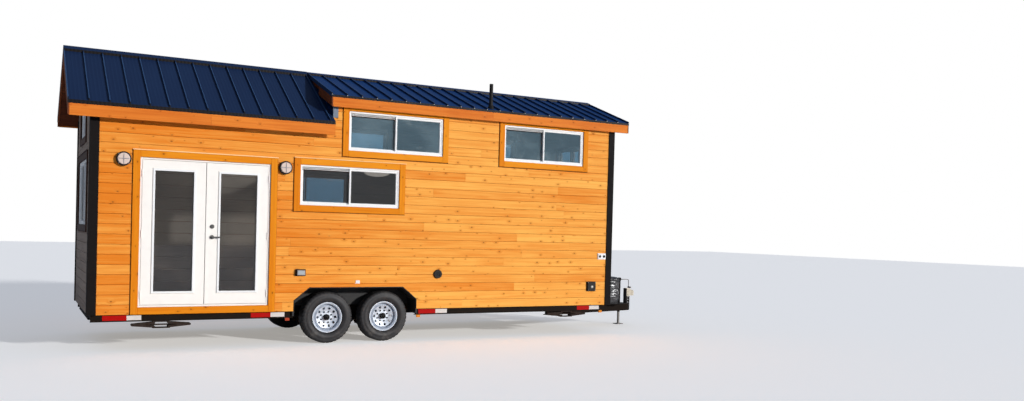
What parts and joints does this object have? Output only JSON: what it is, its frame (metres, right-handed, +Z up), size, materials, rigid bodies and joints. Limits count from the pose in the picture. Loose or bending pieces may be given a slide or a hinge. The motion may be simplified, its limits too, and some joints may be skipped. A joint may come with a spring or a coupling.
{
  "type": "tiny house on wheels",
  "caption": "Small timber-clad house on a tandem-axle trailer, with glazed double doors, sliding windows and a gabled metal roof with a long dormer.",
  "frame": {"origin": "on the ground under the middle of the whole length, from the roof's left edge to the coupler's tip", "axes": "+X along the house towards the tongue, -Y towards the side with the double door, +Z up"},
  "size_m": [9.97, 2.772, 4.1636],
  "materials": {
    "cedar_siding": "oiled cedar boards with small knots",
    "grey_siding": "painted lap siding",
    "cedar_trim": "oiled cedar",
    "ceiling_boards": "stained boards",
    "floor_boards": "grey-brown boards",
    "black_trim": "satin black",
    "roof_metal": "satin blue-black",
    "black_steel": "black paint",
    "jack_steel": "zinc plated",
    "white_frame": "white",
    "window_glass": "clear",
    "hinge_steel": "satin nickel",
    "tyre_rubber": "treaded rubber",
    "wheel_steel": "silver",
    "cover_vinyl": "glossy black vinyl",
    "lamp_black": "satin black",
    "lamp_lens": "white opal",
    "fitting_plastic": "grey",
    "marker_lens": "red and amber",
    "vent_pipe": "black"
  },
  "bodies": {
    "house": {"front_wall_left": "cedar_siding", "front_wall_over_door": "cedar_siding", "front_wall_under_door": "cedar_siding", "front_wall_right": "cedar_siding", "back_wall": "cedar_siding", "lower_walls": "cedar_siding", "arch_corners": "cedar_siding", "left_end_wall": "grey_siding", "right_end_wall": "grey_siding", "dormer_cheeks": "grey_siding", "casings": "cedar_trim", "eave_fascias": "cedar_trim", "rake_boards": "cedar_trim", "roof_deck": "ceiling_boards", "ridge_beam": "ceiling_boards", "floor": "floor_boards", "loft_floor": "floor_boards", "corner_trims": "black_trim", "roof_sheets": "roof_metal", "ridge_cap": "roof_metal", "chassis_rails": "black_steel", "cross_members": "black_steel", "tongue_rails": "black_steel", "coupler": "black_steel", "wheel_wells": "black_steel", "axles": "black_steel", "leaf_springs": "black_steel", "spring_hangers": "black_steel", "gas_locker_tray": "black_steel", "scissor_jacks": "black_steel", "jack_tube": "black_steel", "jack_crank": "jack_steel", "window_frames": "white_frame", "door_frame": "white_frame", "window_glass": "window_glass", "door_hinges": "hinge_steel", "gas_locker_cover": "cover_vinyl", "wall_lamps": "lamp_black", "wall_lamp_lenses": "lamp_lens", "service_fittings": "fitting_plastic", "marker_lights": "marker_lens", "vent_stack": "vent_pipe"},
    "door_leaf_left": {"door_leaf_left": "white_frame", "door_glass_left": "window_glass", "leaf_hinges_left": "hinge_steel"},
    "door_leaf_right": {"door_leaf_right": "white_frame", "door_glass_right": "window_glass", "leaf_hinges_right": "hinge_steel", "lock_plates": "hinge_steel"},
    "door_lever": {"door_lever": "hinge_steel"},
    "jack_leg": {"jack_leg": "jack_steel"},
    "wheel_front_left": {"tyre_front_left": "tyre_rubber", "wheel_front_left": "wheel_steel"},
    "wheel_front_right": {"tyre_front_right": "tyre_rubber", "wheel_front_right": "wheel_steel"},
    "wheel_back_left": {"tyre_back_left": "tyre_rubber", "wheel_back_left": "wheel_steel"},
    "wheel_back_right": {"tyre_back_right": "tyre_rubber", "wheel_back_right": "wheel_steel"}
  },
  "joints": [
    {"name": "door_left_swing", "type": "hinge", "parent": "house", "child": "door_leaf_left", "pos_m": [-4.0665, -1.238, 1.6], "axis": [0, 0, -1], "range_deg": [0, 110]},
    {"name": "door_right_swing", "type": "hinge", "parent": "house", "child": "door_leaf_right", "pos_m": [-2.3935, -1.238, 1.6], "axis": [0, 0, 1], "range_deg": [0, 110]},
    {"name": "lever_turn", "type": "hinge", "parent": "door_leaf_right", "child": "door_lever", "pos_m": [-3.156, -1.25, 1.538], "axis": [0, 1, 0], "range_deg": [0, 45], "stiffness_Nm_per_rad": 0.8, "springref_deg": -11.46},
    {"name": "jack_slide", "type": "slide", "parent": "house", "child": "jack_leg", "axis": [0, 0, 1], "range_m": [0, 0.2]},
    {"name": "wheel_front_left_spin", "type": "hinge", "parent": "house", "child": "wheel_front_left", "pos_m": [-1.465, -1.0475, 0.381], "axis": [0, 1, 0], "continuous": true},
    {"name": "wheel_front_right_spin", "type": "hinge", "parent": "house", "child": "wheel_front_right", "pos_m": [-0.583, -1.0475, 0.381], "axis": [0, 1, 0], "continuous": true},
    {"name": "wheel_back_left_spin", "type": "hinge", "parent": "house", "child": "wheel_back_left", "pos_m": [-1.465, 1.0475, 0.381], "axis": [0, 1, 0], "continuous": true},
    {"name": "wheel_back_right_spin", "type": "hinge", "parent": "house", "child": "wheel_back_right", "pos_m": [-0.583, 1.0475, 0.381], "axis": [0, 1, 0], "continuous": true}
  ]
}
